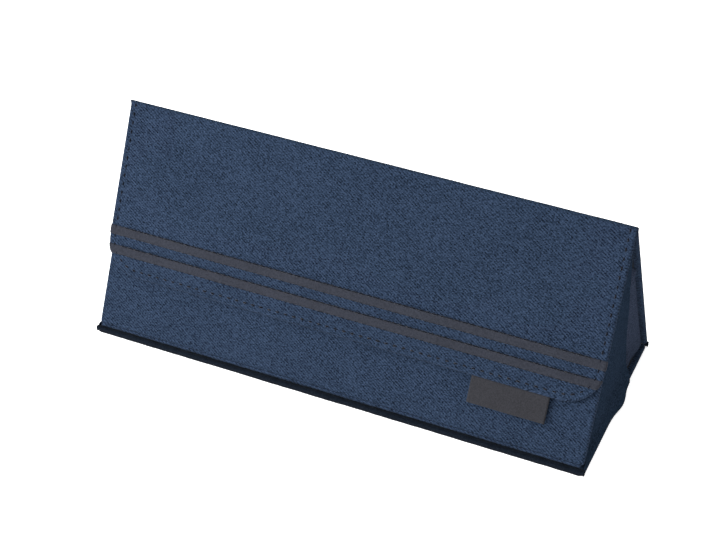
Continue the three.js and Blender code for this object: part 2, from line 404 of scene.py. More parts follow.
def rounded_sides(half, top, foot, radii, inset, spacing=GRID):
    """The four sides of a rounded outline, each from the middle of one corner to the middle of the next.

    They run left to right along the top, down the right, right to left along the foot, and up the left.
    The counts don't depend on the inset, so that outlines of one panel can be joined ring to ring."""
    corners = [(-half, top, 1, 1), (half, top, -1, 1), (half, foot, -1, -1), (-half, foot, 1, -1)]
    starts = [math.pi, 1.5 * math.pi, 0, 0.5 * math.pi]
    arcs = []
    for (x, s, sx, ss), radius, start in zip(corners, radii, starts):
        tight = max(radius - inset, 0.05 * MM)
        middle = (x + sx * (inset + tight), s + ss * (inset + tight))
        steps = max(2, 2 * math.ceil(radius * math.pi / 4 / spacing))
        turns = start + np.linspace(0, math.pi / 2, steps + 1)
        arcs.append(np.stack([middle[0] + tight * np.cos(turns), middle[1] + tight * np.sin(turns)], axis=1))
    lengths = [2 * half, foot - top, 2 * half, foot - top]
    sides = []
    for i in range(4):
        first, second = arcs[i], arcs[(i + 1) % 4]
        begin = first[len(first) // 2 :]
        end = second[: len(second) // 2 + 1]
        steps = math.ceil(lengths[i] / spacing)
        share = np.linspace(0, 1, steps + 1)[1:-1, None]
        straight = begin[-1] * (1 - share) + end[0] * share
        sides.append(np.concatenate([begin, straight, end]))
    return sides


def even_counts(sides):
    """Resamples opposite sides to the same count."""
    result = list(sides)
    for a, b in ((0, 2), (1, 3)):
        count = max(len(sides[a]), len(sides[b]))
        for i in (a, b):
            side = sides[i]
            if len(side) < count:
                marks = np.linspace(0, len(side) - 1, count)
                places = np.arange(len(side))
                result[i] = np.stack([np.interp(marks, places, side[:, k]) for k in range(2)], axis=1)
    return result


def filled(sides):
    """A grid of points across the outline, from its four sides."""
    top, right, foot, left = sides[0], sides[1], sides[2][::-1], sides[3][::-1]
    u = np.linspace(0, 1, len(top))[None, :, None]
    v = np.linspace(0, 1, len(left))[:, None, None]
    rows = (1 - v) * top[None] + v * foot[None]
    columns = (1 - u) * left[:, None] + u * right[:, None]
    ends = (1 - u) * (1 - v) * top[0] + u * (1 - v) * top[-1] + (1 - u) * v * foot[0] + u * v * foot[-1]
    return rows + columns - ends


def loop_of(grid_rows, grid_columns):
    """The grid's border as (row, column) pairs: the top, down the right, back along the foot, up the left."""
    top = [(0, c) for c in range(grid_columns)]
    right = [(r, grid_columns - 1) for r in range(1, grid_rows)]
    foot = [(grid_rows - 1, c) for c in range(grid_columns - 2, -1, -1)]
    left = [(r, 0) for r in range(grid_rows - 2, 0, -1)]
    return top + right + foot + left


def grid_faces(rows, columns, closed=False):
    """Quads of a grid of points laid out row by row."""
    faces = []
    for r in range(rows - 1):
        for c in range(columns if closed else columns - 1):
            d = (c + 1) % columns
            a = r * columns
            faces.append((a + c, a + d, a + d + columns, a + c + columns))
    return faces


def added(name, data):
    """An object of the scene from its mesh, curve, lamp or camera."""
    made = bpy.data.objects.new(name, data)
    bpy.context.scene.collection.objects.link(made)
    return made


def make_object(name, points, faces, material, cloth):
    """A mesh object from points and faces, with its cloth coordinates in metres."""
    mesh = bpy.data.meshes.new(name)
    mesh.from_pydata([tuple(p) for p in points], [], faces)
    mesh.materials.append(material)
    layer = mesh.uv_layers.new(name="cloth")
    corners = np.zeros(len(mesh.loops), np.int32)
    mesh.loops.foreach_get("vertex_index", corners)
    layer.data.foreach_set("uv", np.asarray(cloth, np.float32)[corners].ravel())
    mesh.shade_smooth()
    return added(name, mesh)


def grid_object(name, points, material, x, across):
    """A mesh of a grid of points, whose cloth coordinates are x and across."""
    cloth = np.stack([x, np.broadcast_to(across, x.shape)], axis=-1).reshape(-1, 2)
    return make_object(name, points.reshape(-1, 3), grid_faces(*x.shape), material, cloth)


def thicken(made, thickness, outward, face=0):
    """Gives an open sheet its thickness, inwards from the side that points outward at the given face."""
    mesh = made.data
    mesh.update()
    if np.dot(np.array(mesh.polygons[face].normal), outward) < 0:
        mesh.flip_normals()
    solid = made.modifiers.new("thickness", "SOLIDIFY")
    solid.thickness = thickness
    solid.offset = -1
    graph = bpy.context.evaluated_depsgraph_get()
    mesh = bpy.data.meshes.new_from_object(made.evaluated_get(graph))
    made.modifiers.clear()
    made.data = mesh
    mesh.shade_smooth()
    return made


def settle(made, body, node=None):
    """Puts a piece on its body, in the place of the node that it stands for."""
    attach(made, body)
    if node is not None:
        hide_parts(node)


def closed_outwards(made):
    """Merges doubled points and points every face outwards."""
    work = bmesh.new()
    work.from_mesh(made.data)
    bmesh.ops.remove_doubles(work, verts=work.verts, dist=0.002 * MM)
    bmesh.ops.recalc_face_normals(work, faces=work.faces)
    work.to_mesh(made.data)
    work.free()
    made.data.shade_smooth()


# ---- Covers: canvas over each board ----


def wedge_limit(s):
    """How deep a panel may reach under its face where the flap and the back meet at the ridge."""
    return np.maximum(WEDGE * s - 0.25 * MM, 0.05 * MM)


def cover(name, panel, half, top, foot, radii, depth, seams, seed, open_top=False, flat_face=False):
    """A canvas cover: its face, its rounded edges, and the hem folded over to the inside."""
    radius = depth / 2
    line = top - radius if open_top else top
    sides = even_counts(rounded_sides(half, line, foot, radii, radius))
    grid = filled(sides)
    rows, columns = grid.shape[:2]
    x, s = grid[..., 0], grid[..., 1]
    n = grooves(x, s, seams)
    if not flat_face:
        edge = np.minimum(half - np.abs(x), np.minimum(foot - s, s - top))
        n = n + ripple(x, s, 0.09 * MM, seed) * smooth_step(edge / (9 * MM))
    if open_top:
        n = n - RIDGE_DROP * (1 - smooth_step((s - top) / (5 * MM)))
    points = [panel.at(x, s, n).reshape(-1, 3)]
    cloth = [grid.reshape(-1, 2)]
    faces = grid_faces(rows, columns)
    border = loop_of(rows, columns)
    if open_top:
        border = border[columns - 1 :] + border[:1]
    ring = [r * columns + c for r, c in border]
    angles = np.linspace(0, math.pi, 9)[1:]
    turns = [(radius - radius * math.sin(a), -radius * (1 - math.cos(a))) for a in angles]
    turns += [(radius + d, -depth) for d in np.linspace(0, HEM, 5)[1:]]
    run = 0
    before = (radius, 0)
    for inset, down in turns:
        outline = even_counts(rounded_sides(half, line, foot, radii, inset))
        loop = np.array([filled_border(outline, r, c, rows, columns) for r, c in border])
        run += math.hypot(inset - before[0], down - before[1])
        before = (inset, down)
        low = np.full(len(loop), down)
        if open_top:
            loop[:, 1] = np.maximum(loop[:, 1], top)
            near = loop[:, 1] < top + 1 * MM
            low = np.maximum(low, -wedge_limit(loop[:, 1])) - RIDGE_DROP * near
        count = sum(len(p) for p in points)
        points.append(panel.at(loop[:, 0], loop[:, 1], low))
        outer = np.array([grid[r, c] for r, c in border])
        push = outer - np.array([0, (top + foot) / 2])
        push[:, 0] = np.sign(push[:, 0]) * (np.abs(push[:, 0]) > half - 2 * max(radii))
        push[:, 1] = np.sign(push[:, 1]) * (push[:, 0] == 0)
        cloth.append(outer + push * run)
        fresh = list(range(count, count + len(loop)))
        total = len(ring)
        for i in range(total if not open_top else total - 1):
            j = (i + 1) % total
            faces.append((ring[i], fresh[i], fresh[j], ring[j]))
        ring = fresh
    made = make_object(name, np.concatenate(points), faces, navy_canvas, np.concatenate(cloth))
    return thicken(made, CLOTH, panel.outward)


def filled_border(sides, row, column, rows, columns):
    """The point of an outline that belongs to a place on the grid's border."""
    if row == 0:
        return sides[0][column]
    if column == columns - 1:
        return sides[1][row]
    if row == rows - 1:
        return sides[2][columns - 1 - column]
    return sides[3][rows - 1 - row]


def inset_path(half, top, foot, radius, inset, foot_inset, whole=False):
    """A seam that runs down one side, round the foot and up the other side, or all the way round."""
    tight = max(radius - inset, 0.5 * MM)
    side = half - inset
    bottom = foot - foot_inset
    turns = np.linspace(0, math.pi / 2, 9)
    right = [(side - tight + tight * math.cos(t), bottom - tight + tight * math.sin(t)) for t in turns]
    left = [(-x, s) for x, s in reversed(right)]
    high = top + inset if whole else top
    path = [(side, high)] + right + left + [(-side, high)]
    if whole:
        path.append((side, high))
    return path


flap_seam = inset_path(FLAP_HALF, 2.2 * MM, FLAP_LENGTH, FLAP_CORNER, EDGE_SEAM, FOOT_SEAM)
flap_inner_seam = inset_path(FLAP_HALF, 6 * MM, FLAP_LENGTH, FLAP_CORNER, EDGE_SEAM, FOOT_SEAM)


def ribbon_span(node):
    """The ribbon's upper and lower edges, measured down the flap."""
    low, high = node_box(node)
    middle = (low + high) / 2
    centre = float(np.dot(middle - RIDGE, front_down))
    width = (high[2] - low[2] - 0.25 * MM * math.cos(FRONT_SLOPE)) / math.sin(FRONT_SLOPE)
    return centre - width / 2, centre + width / 2


UPPER_RIBBON = ribbon_span("upper_stripe")
LOWER_RIBBON = ribbon_span("lower_stripe")
RIBBON_SEAM_HALF = FLAP_HALF - 6.9 * MM
SEAM_ON_RIBBON = 0.12 * MM


def straight_seam(s, half):
    return [(-half, s), (half, s)]


RIBBONS = (UPPER_RIBBON, LOWER_RIBBON)
ribbon_top_seams = [straight_seam(span[0] + SEAM_ON_RIBBON, RIBBON_SEAM_HALF) for span in RIBBONS]
ribbon_foot_seams = [straight_seam(span[1] - SEAM_ON_RIBBON, RIBBON_SEAM_HALF) for span in RIBBONS]
front_seam = inset_path(FRONT_HALF, MOUTH, FRONT_RUN - FOOT_LIFT, FRONT_CORNER, EDGE_SEAM, FOOT_SEAM, True)
back_seam = inset_path(BACK_HALF, 5 * MM, BACK_RUN - FOOT_LIFT, SQUARE_CORNER, EDGE_SEAM, FOOT_SEAM)
BASE_HALF_DEPTH = base_high[1]
base_seam = inset_path(
    BASE_HALF, -BASE_HALF_DEPTH, BASE_HALF_DEPTH, SQUARE_CORNER, EDGE_SEAM, FOOT_SEAM, True
)

FOLD_REACH = RIDGE_FOLD / WEDGE
COVER_GAP = 0.3 * MM


def make_covers():
    square = [SQUARE_CORNER] * 4
    flap_radii = [NO_CORNER, NO_CORNER, FLAP_CORNER, FLAP_CORNER]
    back_radii = [NO_CORNER, NO_CORNER, SQUARE_CORNER, SQUARE_CORNER]
    front_radii = [FRONT_CORNER, FRONT_CORNER, SQUARE_CORNER, SQUARE_CORNER]
    flap_depth = FLAP - COVER_GAP
    panel_depth = PANEL - COVER_GAP
    flap = cover("flap_canvas", flap_panel, FLAP_HALF, FOLD_REACH, FLAP_LENGTH, flap_radii, flap_depth,
                 [flap_seam] + ribbon_top_seams, 3, open_top=True)
    front = cover("front_canvas", front_panel, FRONT_HALF, MOUTH, FRONT_RUN - FOOT_LIFT, front_radii,
                  panel_depth, [front_seam], 5)
    back = cover("back_canvas", back_panel, BACK_HALF, FOLD_REACH, BACK_RUN - FOOT_LIFT, back_radii,
                 panel_depth, [back_seam], 7, open_top=True)
    base = cover("base_canvas", base_panel, BASE_HALF, -BASE_HALF_DEPTH, BASE_HALF_DEPTH, square,
                 panel_depth, [base_seam], 9, flat_face=True)
    turned = math.pi * panel_depth / 2 + HEM - panel_depth / 2
    flap_turned = math.pi * flap_depth / 2 + HEM - flap_depth / 2
    front_run = FRONT_RUN - FOOT_LIFT - MOUTH
    back_run = BACK_RUN - FOOT_LIFT - FOLD_REACH
    flap_cut = (2 * (FLAP_HALF + flap_turned), FLAP_LENGTH - FOLD_REACH + flap_turned)
    front_cut = (2 * (FRONT_HALF + turned), front_run + 2 * turned)
    back_cut = (2 * (BACK_HALF + turned), back_run + turned)
    base_cut = (2 * (BASE_HALF + turned), 2 * (BASE_HALF_DEPTH + turned))
    for made, node, body, cut in (
        (flap, "flap_cover", "flap", flap_cut),
        (front, "front_cover", "front_panel", front_cut),
        (back, "back_cover", "case", back_cut),
        (base, "base_cover", "case", base_cut),
    ):
        settle(made, body, node)


# ---- Linings ----


def bulge(x, s, centres):
    """Low round bumps over the discs under the lining."""
    lift = np.zeros(np.shape(x))
    for cx, cs in centres:
        reach = np.hypot(x - cx, s - cs)
        lift = np.maximum(lift, 0.18 * MM * smooth_step((6.2 * MM - reach) / (1.4 * MM)))
    return lift


def closer_rows(grid):
    """Lays closer rows near a sheet's top edge, so that it can follow a ramp there."""
    extra = np.linspace(0, 6 * MM, 16)[1:-1]
    grid = np.concatenate([grid[:1]] + [grid[:1] + [0, e] for e in extra] + [grid[5:]])
    least = np.linspace(15, 1, 15)[:, None] * 0.05 * MM
    grid[:15, :, 1] = np.minimum(grid[:15, :, 1], grid[15, :, 1] - least)
    return grid


def lining(name, panel, half, top, foot, radii, level, centres, seed, ramp=None):
    """A thin sheet of lining glued inside a panel. A ramp takes its top edge out over the board's end."""
    sides = even_counts(rounded_sides(half, top, foot, radii, 0.2 * MM, 1.6 * MM))
    grid = filled(sides)
    if ramp is not None:
        grid = closer_rows(grid)
    x, s = grid[..., 0], grid[..., 1]
    edge = np.minimum(half - np.abs(x), np.minimum(foot - s, s - top))
    n = -level - bulge(x, s, centres) + ripple(x, s, 0.04 * MM, seed) * smooth_step(edge / (8 * MM))
    n = n + 0.12 * MM * (1 - smooth_step(edge / (1.2 * MM)))
    if ramp is not None:
        n = np.maximum(n, np.interp(s, *ramp))
    made = grid_object(name, panel.at(x, s, n), lining_cloth, x, s)
    return thicken(made, LINING, -panel.outward)


def disc_centres(panel, left, right):
    """Where two discs lie on a panel."""
    spots = []
    for name in (left, right):
        place = node_centre(name) - panel.origin
        spots.append((float(place[0]), float(np.dot(place, panel.down))))
    return spots


LINING_INSET = 2.0 * MM
LINING_PROUD = 0.02 * MM


def make_linings():
    magnets = disc_centres(flap_panel, "magnet_left", "magnet_right")
    steels = disc_centres(front_panel, "steel_disc_left", "steel_disc_right")
    flap_ramp = (np.array([0.9, 1.3, 1.7, 2.1]) * MM, np.array([-0.15, -1.1, -1.6, -2.13]) * MM)
    flap_top = flap_ramp[0][0] - 0.2 * MM
    flap_half = FLAP_HALF - 0.8 * MM
    round_foot = FLAP_CORNER - LINING_INSET
    back_ramp = (np.array([3.2, 4.95]) * MM, np.array([-0.58, -2.6]) * MM)
    square = [SQUARE_CORNER] * 4
    flap_radii = [SQUARE_CORNER, SQUARE_CORNER, round_foot, round_foot]
    inner_foot = PANEL / math.tan(FRONT_SLOPE)
    inner_back_foot = PANEL / math.tan(BACK_SLOPE)
    flap = lining("flap_lining_sheet", flap_panel, flap_half, flap_top, FLAP_LENGTH - LINING_INSET,
                  flap_radii, FLAP - LINING_PROUD, magnets, 21, flap_ramp)
    front = lining("front_lining_sheet", front_panel, FRONT_HALF - LINING_INSET, MOUTH + LINING_INSET,
                   FRONT_RUN - inner_foot - LINING_INSET, square, PANEL - LINING_PROUD, steels, 22)
    back = lining("back_lining_sheet", back_panel, BACK_HALF - 2.2 * MM, back_ramp[0][0],
                  BACK_RUN - inner_back_foot - LINING_INSET, square, PANEL - LINING_PROUD, [], 23, back_ramp)
    base_depth = BASE_HALF_DEPTH - LINING_INSET
    base = lining("base_lining_sheet", base_panel, BASE_HALF - LINING_INSET, -base_depth,
                  base_depth, square, PANEL - LINING_PROUD, [], 24)
    for made, node, body in (
        (flap, "flap_lining", "flap"),
        (front, "front_lining", "front_panel"),
        (back, "back_lining", "case"),
        (base, "base_lining", "case"),
    ):
        settle(made, body, node)


# ---- Ridge fold ----


def make_ridge_fold():
    """The canvas that turns over the ridge from the back to the flap."""
    apex = math.pi - FRONT_SLOPE - BACK_SLOPE
    reach = RIDGE_FOLD / math.tan(apex / 2)
    foot_front = RIDGE + reach * front_down
    centre = foot_front - RIDGE_FOLD * front_out
    start = math.atan2(front_out[2], front_out[1])
    end = math.atan2(back_out[2], back_out[1])
    turns = np.linspace(start, end, 13)
    profile = [(foot_front[1] + front_down[1] * RIDGE_LAP, foot_front[2] + front_down[2] * RIDGE_LAP)]
    profile += [(centre[1] + RIDGE_FOLD * math.cos(t), centre[2] + RIDGE_FOLD * math.sin(t)) for t in turns]
    last = profile[-1]
    profile.append((last[0] + back_down[1] * RIDGE_LAP, last[1] + back_down[2] * RIDGE_LAP))
    profile = np.array(profile)
    steps = np.concatenate([[0], np.cumsum(np.hypot(*np.diff(profile, axis=0).T))])
    along = np.linspace(-FLAP_HALF, FLAP_HALF, 251)
    x = np.broadcast_to(along[None], (len(profile), len(along)))
    sag = ripple(x, np.zeros_like(x), 0.05 * MM, 31)
    y = np.broadcast_to(profile[:, :1], x.shape)
    z = profile[:, 1:] + sag
    points = np.stack([x, y, z], axis=-1)
    # The ridge fold wears the darker copy of the navy canvas: painted shade that draws the dark line along
    # the ridge.
    made = grid_object("ridge_canvas", points, gusset_canvas, x, reach + RIDGE_LAP - steps[:, None])
    thicken(made, 0.22 * MM, front_out)
    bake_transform(made)
    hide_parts("ridge_hinge_strip")


def make_front_hinge():
    """The canvas that joins the front panel's foot to the base."""
    above_foot = np.array([1.3, 1.0, 0.7, 0.4]) * MM
    off_face = np.array([0.02, 0.06, 0.04, -0.05]) * MM
    face = front_panel.at(0, FRONT_RUN - above_foot, off_face)
    profile = [tuple(point[1:]) for point in face]
    foot_y, foot_z = profile[-1]
    profile += [(foot_y + 0.15 * MM, foot_z - 0.35 * MM), (foot_y + 0.5 * MM, foot_z - 0.6 * MM)]
    profile = np.array(profile)
    along = np.linspace(-FRONT_HALF + 0.9 * MM, FRONT_HALF - 0.9 * MM, 249)
    x = np.broadcast_to(along[None], (len(profile), len(along)))
    wander = ripple(x, np.zeros_like(x), 0.04 * MM, 33)
    y = profile[:, :1] + wander
    z = np.broadcast_to(profile[:, 1:], x.shape)
    points = np.stack([x, y, z], axis=-1)
    made = grid_object("front_hinge_canvas", points, navy_canvas, x, FRONT_RUN - z)
    thicken(made, 0.12 * MM, front_out)
    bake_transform(made)


# ---- Base edge strips ----


def edge_strip(name, node, side, seed):
    """The dark canvas edge sewn along the base, a little uneven. Its near-black colour is partly the trim's
    own and partly painted shade of the crease where it meets the panel above.
    """
    low, high = node_box(node)
    middle_y = (low[1] + high[1]) / 2
    middle_z = (low[2] + high[2]) / 2
    half_y = (high[1] - low[1]) / 2
    half_z = (high[2] - low[2]) / 2
    rng = np.random.default_rng(seed)
    along = np.linspace(low[0] - 0.5 * MM, high[0] + 0.5 * MM, 401)
    around = np.linspace(0, 2 * math.pi, 17)[:-1]
    fray = np.interp(along, np.linspace(low[0], high[0], 90), rng.uniform(-1, 1, 90))
    wander = ripple(along, np.zeros_like(along), 0.12 * MM, seed)
    taper = 1 - 0.3 * np.exp(-(((high[0] - np.abs(along)) / (0.9 * MM)) ** 2))
    points = []
    cloth = []
    for i, x in enumerate(along):
        for angle in around:
            squared = 1 / max(abs(math.cos(angle)), abs(math.sin(angle))) ** 0.8
            y = math.cos(angle) * squared * half_y * taper[i]
            z = math.sin(angle) * squared * half_z * taper[i]
            y = y + side * (0.1 * MM * fray[i] * max(0, side * math.cos(angle)) + 0.4 * wander[i])
            z = min(max(z, -half_z), 0.72 * half_z) + 0.16 * MM * fray[i] * max(0, math.sin(angle))
            points.append((x, middle_y + y, middle_z + z))
            cloth.append((x, angle * 0.9 * MM))
    faces = [tuple(reversed(f)) for f in grid_faces(len(along), len(around), closed=True)]
    count = len(around)
    faces.append(tuple(range(count)))
    faces.append(tuple(reversed(range(count * (len(along) - 1), count * len(along)))))
    made = make_object(name, points, faces, dark_canvas, cloth)
    closed_outwards(made)
    settle(made, "case", node)


# ---- Pleated ends ----

# The pleat's fold in the end canvas: how far back from the middle it lies at each height.
FOLD_HEIGHTS = np.array([2.0, 22, 37, 49, 60, 72]) * MM
FOLD_PLACES = np.array([15.3, 11.3, 10.1, 7.6, 6.4, 5.7]) * MM
PLEAT_CLOTH = 0.3 * MM
PLEAT_TOP = 70.8 * MM
MOUTH_Z = front_high[2] - 0.2 * MM


def front_inner(z, depth):
    """Where a level line meets the front panel, that deep under its face."""
    return FRONT_HINGE[1] + (z - SEAT) / math.tan(FRONT_SLOPE) + depth / math.sin(FRONT_SLOPE)


def back_inner(z, depth):
    return (RIDGE[2] - z) / math.tan(BACK_SLOPE) - depth / math.sin(BACK_SLOPE)


def fold_place(z):
    """The pleat's fold, kept clear of the back panel."""
    smooth = np.polyval(np.polyfit(FOLD_HEIGHTS, FOLD_PLACES, 3), z)
    limit = back_inner(z, PANEL) - 0.45 * MM
    softness = 0.6 * MM
    return -softness * np.logaddexp(-smooth / softness, -limit / softness)


def pleat(name, side, x, y, z, first, material, body, node):
    """A pleat's cloth from its grid, which narrows towards the top."""
    points = np.stack([side * x, y, z], axis=-1)
    steps = np.linalg.norm(np.diff(points, axis=1), axis=2)
    run = np.concatenate([np.zeros((len(z), 1)), np.cumsum(steps, axis=1)], axis=1)
    made = grid_object(name, points, material, first + run, z)
    thicken(made, PLEAT_CLOTH, np.array([side, 0, 0]))
    settle(made, body, node)


def front_pleat(name, node, side):
    """The front half of an end: canvas from the front panel's edge to the pleat's fold and back in."""
    mouth_z = RIDGE[2] - (MOUTH + 1.4 * MM) * math.sin(FRONT_SLOPE) - 2.45 * MM * math.cos(FRONT_SLOPE)
    heights = np.concatenate([np.linspace(0.35 * MM, mouth_z, 90), np.linspace(mouth_z, PLEAT_TOP, 12)[1:]])
    across = np.linspace(0, 1, 64)
    u, z = np.meshgrid(across, heights)
    end = fold_place(z)
    ear = np.clip((z - mouth_z) / (PLEAT_TOP - mouth_z), 0, 1)
    start = front_inner(np.minimum(z, mouth_z), PANEL + 0.25 * MM)
    start = np.where(z < SEAT, -BASE_HALF_DEPTH - 0.35 * MM, start)
    start = start + (end - 0.35 * MM - start) * ear
    y = start + (end - start) * u
    low = np.clip(1 - (z - SEAT) / (mouth_z - SEAT), 0, 1)
    reach = 2 * MM + 8 * MM * smooth_step(u * 1.6)
    flare = smooth_step(1 - (z - 2.3 * MM) / reach)
    soft = 0.5 * MM * np.sin(math.pi * np.clip(u * 1.15, 0, 1)) * (0.4 + low)
    swell = 1.7 * MM * np.exp(-(((y - 3 * MM) / (6.5 * MM)) ** 2))
    swell = swell * np.exp(-(((z - 3 * MM) / (8 * MM)) ** 2))
    crumple = 0.2 * MM * np.sin(z / (4.6 * MM) + 5 * u) * u * low
    dip = -0.5 * MM * np.exp(-(((u - 0.12) / 0.1) ** 2)) * (1 - smooth_step((8 * MM - z) / (5 * MM)))
    tuck = 0.6 * MM * smooth_step(1 - u / 0.08)
    x = FRONT_HALF - 1.35 * MM + soft + crumple + dip + tuck
    x = x + (BASE_HALF + 0.38 * MM - x) * flare + swell
    turn = np.linspace(0, 1, 9)[1:]
    edge_x, edge_y, edge_z = x[:, -1:], y[:, -1:], z[:, -1:]
    fold_radius = 0.55 * MM
    back_x = edge_x - fold_radius * (1 - np.cos(math.pi * turn))[None]
    back_y = edge_y + fold_radius * np.sin(math.pi * turn)[None]
    back_z = np.broadcast_to(edge_z, back_x.shape)
    inward = np.linspace(0, 1, 8)[1:]
    room = np.minimum(6 * MM, edge_y - start[:, -1:])
    lip_x = np.broadcast_to(edge_x - 2 * fold_radius, (len(heights), len(inward)))
    lip_y = edge_y - room * inward[None]
    lip_z = np.broadcast_to(edge_z, lip_x.shape)
    x = np.concatenate([x, back_x, lip_x], axis=1)
    y = np.concatenate([y, back_y, lip_y], axis=1)
    z = np.concatenate([z, back_z, lip_z], axis=1)
    # The front half of each end wears the darker copy of the navy canvas: painted shade.
    pleat(name, side, x, y, z, 0, gusset_canvas, "front_panel", node)


def back_pleat(name, node, side):
    """The back half of an end: canvas that runs under the front half and out to the back panel's edge."""
    heights = np.linspace(SEAT + 0.4 * MM, node_box(node)[1][2] - 0.3 * MM, 96)
    across = np.linspace(0, 1, 90)
    u, z = np.meshgrid(across, heights)
    above = smooth_step((z - MOUTH_Z) / (2.5 * MM))
    start = front_inner(z, PANEL + 0.45 * MM + (0.1 * MM - PANEL) * above)
    end = back_inner(z, PANEL + 0.3 * MM)
    end = np.maximum(end, start + 0.4 * MM)
    y = start + (end - start) * u
    inner = node_box("gusset_back_right")[1][0] - 0.25 * MM
    fold = fold_place(z)
    behind = smooth_step((y - fold - 1.6 * MM) / np.maximum(end - fold - 1.6 * MM, 1 * MM))
    rise = 1.9 * MM * behind
    second = 0.75 * MM * np.exp(-(((y - fold - 2.6 * MM) / (0.8 * MM)) ** 2))
    second = second * smooth_step((z - 34 * MM) / (18 * MM))
    notch = -0.9 * MM * np.exp(-(((y - 20 * MM) / (1.3 * MM)) ** 2 + ((z - 9 * MM) / (2.2 * MM)) ** 2))
    tab = 0.7 * MM * np.exp(-(((y - 21.5 * MM) / (2.2 * MM)) ** 2 + ((z - 4 * MM) / (2.0 * MM)) ** 2))
    x = inner + rise + (second + notch + tab) * np.where(y > fold + 1.2 * MM, 1, 0)
    flange = np.linspace(0, 1, 7)[None, 1:] * 6 * MM
    x = np.concatenate([x, x[:, -1:] - flange - 0.2 * MM], axis=1)
    y = np.concatenate([y, y[:, -1:] + 0.18 * MM + 0 * flange], axis=1)
    z = np.concatenate([z, z[:, -1:] + 0 * flange], axis=1)
    # The back half of each end wears the lighter copy of the navy canvas: painted light.
    pleat(name, side, x, y, z, y[:, :1], lit_navy_canvas, "case", node)


# ---- Ribbons and label ----


def flap_half_at(s):
    """Half the flap's length at a distance down it, which shortens in the rounded corners."""
    into = np.clip(s - (FLAP_LENGTH - FLAP_CORNER), 0, FLAP_CORNER)
    return FLAP_HALF - FLAP_CORNER + np.sqrt(FLAP_CORNER**2 - into**2)


def ribbon(name, node, span):
    """A ribbed ribbon across the flap, turned under at its two ends."""
    rim = (FLAP - COVER_GAP) / 2
    turns = np.linspace(math.radians(80), 0, 7)[:-1]
    rows = np.linspace(span[0], span[1], 9)
    halves = flap_half_at(rows)[:, None]
    flat = np.linspace(-1, 1, 221)[None]
    flat_x = flat * (halves - rim)
    flat_n = np.zeros_like(flat_x)
    left_x = -(halves - rim) - rim * np.sin(turns)[None]
    turn_n = np.broadcast_to(-rim * (1 - np.cos(turns))[None], left_x.shape)
    x = np.concatenate([left_x, flat_x, -left_x[:, ::-1]], axis=1)
    n = np.concatenate([turn_n, flat_n, turn_n[:, ::-1]], axis=1)
    s = np.broadcast_to(rows[:, None], x.shape)
    inside = np.abs(x) < RIBBON_SEAM_HALF
    edge = np.minimum(s - span[0], span[1] - s)
    crown = 0.24 * MM * smooth_step((edge + 0.25 * MM) / (0.8 * MM))
    pressed = grooves(x, s, [flap_seam]) * 0.9
    lift = crown + pressed + 0.06 * MM - 0.04 * MM * inside * (edge < 0.4 * MM)
    end_side = np.clip(x / np.maximum(np.abs(x), 1e-9), -1, 1)
    sideways = end_side * np.sin(np.arccos(np.clip(1 + n / rim, -1, 1)))
    upwards = np.clip(1 + n / rim, 0, 1)
    points = flap_panel.at(x + sideways * lift, s, n + upwards * lift)
    made = grid_object(name, points, ribbon_tape, x, s)
    thicken(made, 0.22 * MM, front_out, len(flat[0]) // 2)
    settle(made, "flap", node)


def make_label():
    """A plain woven label, folded double, that hangs from under the flap's foot."""
    left = label_low[0]
    right = label_high[0]
    drop = (RIDGE[2] - label_low[2]) / math.sin(FRONT_SLOPE)
    middle = node_centre("label") - RIDGE
    level = float(np.dot(middle, front_out))
    foot = float(np.dot(label_low - RIDGE, front_down)) - 0.1 * MM
    foot = min(foot, drop)
    head = FLAP_LENGTH - 0.2 * MM
    radius = 0.38 * MM
    front_s = np.linspace(head, foot - radius, 16)
    turns = np.linspace(0, math.pi, 9)[1:-1]
    fold_s = foot - radius + radius * np.sin(turns)
    fold_n = radius * np.cos(turns)
    back_s = front_s[::-1]
    s = np.concatenate([front_s, fold_s, back_s])
    n = np.concatenate([np.full(16, radius), fold_n, np.full(16, -radius)])
    swing = 0.22 * MM * smooth_step((s - head) / (foot - head))
    across = np.linspace(0, 1, 46)
    u, profile_s = np.meshgrid(across, s)
    profile_n = np.broadcast_to(n[:, None], u.shape)
    tilt = np.broadcast_to(swing[:, None], u.shape)
    curl = 0.16 * MM * np.sin(math.pi * u) * (profile_s - head) / (foot - head)
    x = left + (right - left) * u
    points = flap_panel.at(x, profile_s, level + profile_n + tilt + curl)
    run = np.concatenate([[0], np.cumsum(np.hypot(np.diff(s), np.diff(n)))])
    made = grid_object("label_loop", points, label_tape, x, run[:, None])
    thicken(made, 0.2 * MM, front_out)
    settle(made, "flap", "label")


# ---- Stitches ----


